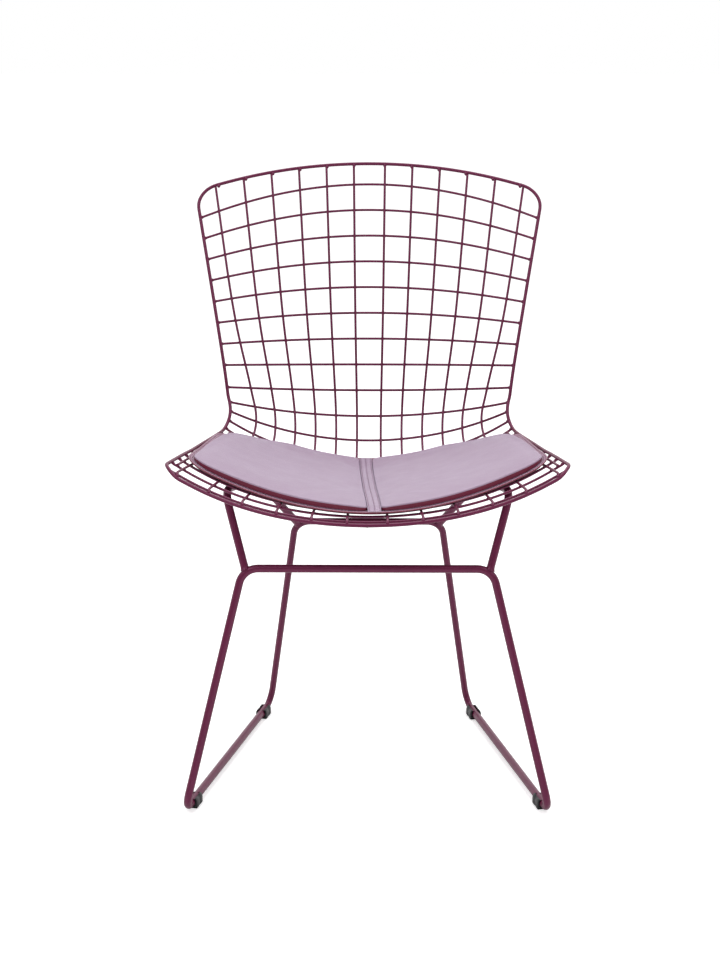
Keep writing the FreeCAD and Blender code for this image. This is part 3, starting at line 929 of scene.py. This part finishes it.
# Height of the leather over the pad's flange, near millimetres in from the seam
def cushionRise(x, s, near, wall, full):
    bend = cushion["seamRound"]
    inside = max(bend - near, 0)
    crownEnd, crownMore = cushion["crownShares"]
    rise = wall - bend + math.sqrt(max(bend * bend - inside * inside, 0))
    rise += cushion["crown"] * (1 - math.exp(-near / cushion["crownReach"])) * (crownEnd + crownMore * full)
    middle, width = cushion["puckerPlace"]
    pucker = cushion["pucker"] * math.exp(-((near - middle) / width) ** 2)
    scale = cushion["puckerScale"]
    return rise + pucker * noise.noise(Vector((x * scale, s * scale, cushion["seed"])))


# One slice of the cushion: its points below and above, and how free each upper one is
def cushionSlice(x, sign):
    inset = pad["flangeWidth"]
    start, tipX = cushion["start"], pad["tip"] - inset
    under = pad["boardTop"] + pad["flange"] + cushion["seat"] + pad["gap"]
    corner = cushion["innerCorner"]
    inward = min(max(corner - (x - start), 0), corner)
    cut = corner - math.sqrt(max(corner ** 2 - inward ** 2, 0))
    front, rear = padFront(x, inset) + cut, softRear(x, inset) - cut
    ahead = min(x + 1, tipX)
    tilts = [math.hypot(1, (edge(ahead, inset) - edge(x - 1, inset)) / (ahead - x + 1))
             for edge in (padFront, softRear)]
    full = 1 - abs(2 * (x - start) / (tipX - start) - 1) ** cushion["fullness"]
    wallEnd, wallMore = cushion["wallShares"]
    wall = cushion["edge"] * (wallEnd + wallMore * full)
    rows = spaced(front, rear, cushion["rows"])
    low = [padPoint(sign * x, s, under) for s in rows]
    high, loose = [], []
    for s in rows:
        gaps = [(s - front) / tilts[0], (rear - s) / tilts[1], x - start, tipX - x]
        near = min(gaps)
        if near > 1e-6:
            near = sum(gap ** -4 for gap in gaps) ** -0.25
        high.append(padPoint(sign * x, s, under + cushionRise(x * sign, s, near, wall, full)))
        loose.append(min(max((near - cushion["held"]) / cushion["freeing"], 0), 1))
    return low, high, loose


# The skin over the slices, closed row by row at both ends
def cushionFaces(loops, rowCount):
    count = len(loops[0])
    faces = rings(loops, caps=False)
    for first in (0, (len(loops) - 1) * count):
        for j in range(rowCount - 1):
            over = first + 2 * rowCount - j
            face = [first + j, first + j + 1, over - 1, over]
            if j == 0:
                face.append(first + count - 1)
            if j == rowCount - 2:
                face.insert(2, first + rowCount)
            faces.append(tuple(face))
    return faces


# Side leather on the walls and the tip, but not on the inner end beside the strip; the walls' burgundy
# beside the lighter top is partly a two-tone cover and partly painted highlight on the top
def paintWalls(mesh, slices, count, rowCount):
    for face in mesh.polygons:
        places = [v % count for v in face.vertices]
        on = {v // count for v in face.vertices}
        onWall = rowCount in places or count - 1 in places
        if on == {slices - 1} or onWall and on != {0}:
            face.material_index = 1


def makeCushion(side, sign):
    loops, freedom = [], []
    rowCount = 0
    for x in spaced(cushion["start"], pad["tip"] - pad["flangeWidth"], cushion["columns"]):
        low, high, loose = cushionSlice(x, sign)
        rowCount = len(low)
        rearWall, frontWall = low[-1].lerp(high[-1], 0.5), low[0].lerp(high[0], 0.5)
        loops.append(low + [rearWall] + high[::-1] + [frontWall])
        freedom += [0] * (rowCount + 1) + loose[::-1] + [0]
    name = f"{side}SeatCushion"
    mesh = bpy.data.meshes.new(name)
    mesh.from_pydata([p * mm for loop in loops for p in loop], [], cushionFaces(loops, rowCount))
    mesh.materials.append(topLeatherAndPaintedHighlight)
    mesh.materials.append(sideLeather)
    paintWalls(mesh, len(loops), len(loops[0]), rowCount)
    obj = bpy.data.objects.new(name, mesh)
    scene.collection.objects.link(obj)
    tidyMesh(mesh, merge=0)
    press(obj, freedom)
    smooth = obj.modifiers.new("smooth", "SUBSURF")
    smooth.levels = smooth.render_levels = 1
    settle(obj, [f"{side}_cushion"])
    print("pad:", name, len(obj.data.polygons))


# Fills the cushion: the leather is held at its seams and pressed out between them
def press(obj, freedom):
    group = obj.vertex_groups.new(name="held")
    for index, loose in enumerate(freedom):
        group.add([index], 1 - loose, "REPLACE")
    cloth = obj.modifiers.new("filling", "CLOTH")
    form = cloth.settings
    form.quality = cushion["quality"]
    form.vertex_group_mass = "held"
    form.use_pressure = True
    form.uniform_pressure_force = cushion["pressure"]
    form.effector_weights.gravity = 0
    for frameNumber in range(1, cushion["frames"] + 1):
        scene.frame_set(frameNumber)
    seen = obj.evaluated_get(bpy.context.evaluated_depsgraph_get())
    moved = [v.co.copy() for v in seen.data.vertices]
    obj.modifiers.remove(cloth)
    scene.frame_set(1)
    cap = cushion["swell"] * mm
    for vertex, goal in zip(obj.data.vertices, moved):
        move = goal - vertex.co
        if move.length > 1e-9:
            vertex.co += move.normalized() * cap * math.tanh(move.length / cap)
    print("pad: filled", obj.name)


makeCushion("left", 1)
makeCushion("right", -1)


# The pad's outer seam as evenly spaced (x, s) points with outward directions
def outline():
    tip, corner, shoulder = pad["tip"], pad["tipRound"], pad["shoulderHalf"]
    frontSteps, tipSteps, rearSteps = pad["seamSteps"]
    xs = [(tip - corner) * i / frontSteps for i in range(frontSteps)]
    xs += [tip - corner + corner * math.sin(math.pi / 2 * i / tipSteps) for i in range(tipSteps + 1)]
    half = [(x, padFront(x)) for x in xs]
    xs = [shoulder * (1 - (1 - i / rearSteps) ** 2) for i in range(rearSteps)]
    xs += [shoulder + (tip - shoulder) * i / tipSteps for i in range(tipSteps + 1)]
    half += [(x, padRear(x)) for x in xs[::-1]]
    raw = half + [(-x, s) for x, s in half[::-1][1:-1]]
    lengths = [0.0]
    for a, b in zip(raw, raw[1:] + raw[:1]):
        lengths.append(lengths[-1] + math.dist(a, b))
    count = round(lengths[-1] / pad["seamPitch"])
    even, at = [], 0
    for i in range(count):
        goal = lengths[-1] * i / count
        while lengths[at + 1] < goal:
            at += 1
        a, b = raw[at % len(raw)], raw[(at + 1) % len(raw)]
        share = (goal - lengths[at]) / max(lengths[at + 1] - lengths[at], 1e-9)
        even.append((a[0] + (b[0] - a[0]) * share, a[1] + (b[1] - a[1]) * share))
    for _ in range(pad["seamSoftness"]):
        even = [tuple((even[i - 1][k] + 2 * even[i][k] + even[(i + 1) % count][k]) / 4 for k in (0, 1))
                for i in range(count)]
    out = []
    for i, (x, s) in enumerate(even):
        before, after = even[i - 1], even[(i + 1) % count]
        dx, ds = after[0] - before[0], after[1] - before[1]
        length = math.hypot(dx, ds)
        out.append((x, s, ds / length, -dx / length))
    return out


seam = outline()


def onSeam(place, inset, lift):
    x, s, outX, outS = place
    return padPoint(x - outX * inset, s - outS * inset, lift)


def makeFlange():
    cover, rolled = pad["flangeCover"], len(pad["flangeRoll"]) - 2
    section = list(pad["flangeRoll"])
    for line in stitch["flangeLines"]:
        section += [(line + inset, lift) for inset, lift in pad["stitchDip"]]
    section += [pad["flangeShoulder"], (cover, pad["flange"] * pad["flangeThin"])]
    section += [(cover, 0.1), pad["flangeHeel"]]
    loops = [[onSeam(place, inset, pad["boardTop"] + lift) for inset, lift in section] for place in seam]
    points = [p for loop in loops for p in loop]
    obj = addPiece("padFlange", points, rings(loops, closedAlong=True), edgeLeatherAndPaintedHighlight,
                   ["pad_flange"])
    # The flange's rounded outer edge takes the dark wall leather and its top the lighter flange leather: one
    # leather, with painted shade on the edge and painted highlight on the top
    obj.data.materials.append(sideLeather)
    for face in obj.data.polygons:
        if max(v % len(section) for v in face.vertices) <= rolled:
            face.material_index = 1
    print("pad: flange", len(obj.data.polygons))


# Share of the strip's full height at s: it falls to the leather at both ends
def stripRise(s, front, rear):
    reach = strip["frontFall"] if s < (front + rear) / 2 else strip["rearFall"]
    return math.sin(math.pi / 2 * min(min(s - front, rear - s) / reach, 1)) ** strip["fallPower"]


def makeStrip():
    half, shoulder = strip["half"], strip["shoulder"]
    under = pad["boardTop"] + pad["flange"] + strip["seat"]
    offsets = set()
    for x in (half, *[half - tuck for tuck in strip["tucks"]], *strip["between"]):
        offsets |= {x, -x}
    for line in strip["lines"]:
        offsets |= {line + aside for aside in strip["grooveSteps"]}
    offsets = sorted(offsets)
    front, rear = padFront(0) + strip["frontInset"], padRear(0) - strip["rearInset"]
    outer = strip["lines"][2]
    loops = []
    for s in spaced(front, rear, strip["rows"], strip["endSteps"]):
        rise = stripRise(s, front, rear)
        top = []
        for x in offsets:
            drop = max(1 - (half - abs(x)) / shoulder["width"], 0)
            height = strip["edge"] - shoulder["depth"] + shoulder["depth"] * math.sqrt(max(1 - drop ** 2, 0))
            height += strip["puff"] * abs(math.sin(math.pi * x / outer)) * (abs(x) < outer)
            nearLine = min(abs(x - line) for line in strip["lines"])
            height -= strip["groove"] * max(1 - nearLine / strip["grooveHalf"], 0)
            top.append(padPoint(x, s, under + strip["least"] + height * rise))
        low = [padPoint(x, s, under) for x in offsets]
        loops.append(low + top[::-1])
    points = [p for loop in loops for p in loop]
    obj = addPiece("centreStrip", points, rings(loops), topLeatherAndPaintedHighlight, ["centre_strip"])
    print("pad: centre strip", len(obj.data.polygons))
    return front, rear, under


def makeStitches(front, rear, under):
    places, edges = [], []

    def line(points, closed):
        start = len(places)
        count = len(points)
        for i, (point, up) in enumerate(points):
            places.append((point, up, Vector((1, 0, 0)), Vector(stitch["half"])))
            if closed or i < count - 1:
                edges.append((start + i, start + (i + 1) % count))

    for inset in stitch["flangeLines"]:
        row = []
        for place in seam:
            low = onSeam(place, inset, pad["boardTop"])
            high = onSeam(place, inset, pad["boardTop"] + stitch["flangeLift"])
            row.append((high, (high - low).normalized()))
        line(row, True)
    full = strip["edge"] - strip["groove"] + stitch["stripLift"]
    for x in strip["lines"]:
        row = []
        for i in range(stitch["steps"] + 1):
            s = front + stitch["endGap"] + (rear - front - 2 * stitch["endGap"]) * i / stitch["steps"]
            lift = under + strip["least"] + full * stripRise(s, front, rear)
            low, high = padPoint(x, s, under), padPoint(x, s, lift)
            row.append((high, (high - low).normalized()))
        line(row, False)
    pitches = {"Pitch": stitch["pitch"] * mm}
    obj = scatter("padStitches", places, edges, stitch["form"], threadCord, pitches)
    settle(obj)
    print("pad: stitches", len(obj.data.polygons))


makeFlange()
makeStitches(*makeStrip())


# Glides: moulded saddles snapped onto the runners, millimetres
glide = {
    "length": 26.0,
    "half": 8.5,
    "height": 14.5,
    "mouth": 4.7,
    "groove": 5.6,
    "edge": 0.7,
    "frontPlace": 42.0,
    "weldGap": 1,
    "soleRound": 1.2,
    "soleTuck": 0.35,
    "wallFoot": 4.0,
    "lipRound": 0.4,
    "topSteps": 5,
    "grooveSteps": 9,
    "waistShares": (0.3, 0.34),  # of the half length
    "waistDepth": 0.3,
}


# Half width and height round the saddle, from under its middle
def glideSection():
    half, top, axis = glide["half"], glide["height"], base["footHeight"]
    mouth, groove = glide["mouth"], glide["groove"]
    corner, tuck, lipRound = glide["soleRound"], glide["soleTuck"], glide["lipRound"]
    right = [(half - corner, 0.0), (half - tuck, tuck), (half, corner)]
    right += [(half, glide["wallFoot"]), (half, axis)]
    steps = glide["topSteps"]
    reach = math.asin((top - axis) / half)
    right += [(half * math.cos(reach * i / steps), axis + half * math.sin(reach * i / steps))
              for i in range(1, steps + 1)]
    right += [(mouth + lipRound, top), (mouth, top - lipRound)]
    lip = math.asin(math.sqrt(groove ** 2 - mouth ** 2) / groove)
    steps = glide["grooveSteps"]
    turns = [lip - (lip + math.pi / 2) * i / steps for i in range(steps)]
    right += [(groove * math.cos(turn), axis + groove * math.sin(turn)) for turn in turns]
    return [(0.0, 0.0)] + right + [(0.0, axis - groove)] + [(-w, z) for w, z in right[::-1]]


def shrunk(loop, by):
    made = []
    for i, (w, z) in enumerate(loop):
        before, after = loop[i - 1], loop[(i + 1) % len(loop)]
        dw, dz = after[0] - before[0], after[1] - before[1]
        length = math.hypot(dw, dz)
        made.append((w - dz / length * by, z + dw / length * by))
    return made


# Places along the saddle and how far its section is drawn in at each
def glideStations():
    half, edge = glide["length"] / 2, glide["edge"]
    inner, outer = glide["waistShares"]
    ends = [(half, edge), (half - edge * 0.3, edge * 0.3), (half - edge, 0), (half * outer, 0),
            (half * inner, glide["waistDepth"])]
    return [(-u, by) for u, by in ends] + ends[::-1]


def makeGlides():
    loop = glideSection()
    for side, sign in (("left", 1), ("right", -1)):
        front, rear, _, bar = baseCorners(sign)
        ahead, weld = runnerWeld(front, rear, bar)
        wide = Vector((-ahead.y, ahead.x, 0))
        reach = (weld - rear).length + glide["length"] / 2 + glide["weldGap"]
        for place, spot in (("front", front - ahead * glide["frontPlace"]), ("rear", rear + ahead * reach)):
            under = Vector((spot.x, spot.y, 0))
            loops = []
            for u, by in glideStations():
                loops.append([under + ahead * u + wide * w + Vector((0, 0, max(z, 0)))
                              for w, z in shrunk(loop, by)])
            points = [p for one in loops for p in one]
            obj = addPiece(f"{side}{place.capitalize()}Glide", points, rings(loops), blackPlastic,
                           [f"{side}_{place}_glide"])
            crease = obj.modifiers.new("shade", "EDGE_SPLIT")
            crease.split_angle = sharpAngle
    print("feet: glides")


makeGlides()
